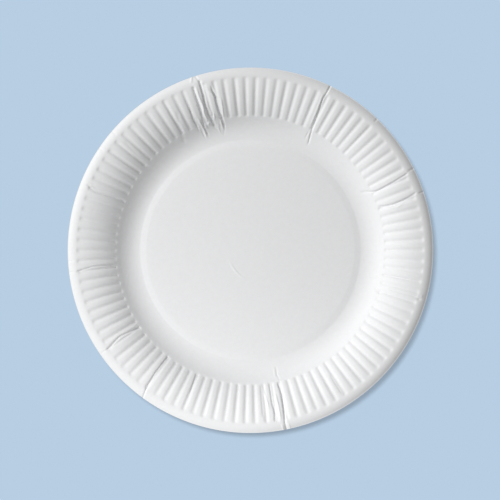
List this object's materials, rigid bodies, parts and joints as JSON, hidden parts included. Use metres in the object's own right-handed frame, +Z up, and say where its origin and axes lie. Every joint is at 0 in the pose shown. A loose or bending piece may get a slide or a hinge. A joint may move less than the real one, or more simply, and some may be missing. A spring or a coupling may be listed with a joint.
{
  "type": "paper plate",
  "caption": "Round shallow disposable plate of pressed white board, with fine radial ribs round its sloping rim and a smooth turned-down lip.",
  "frame": {"origin": "centre of the plate at the level of the surface it stands on, the underside of its foot ring", "axes": "+Z up along the plate's axis, out of the dish; +X runs through the middle of one groove of the ribbed rim"},
  "size_m": [0.23, 0.23, 0.0166],
  "materials": {
    "board": "matte"
  },
  "bodies": {
    "root": {"plate": "board"}
  },
  "joints": []
}
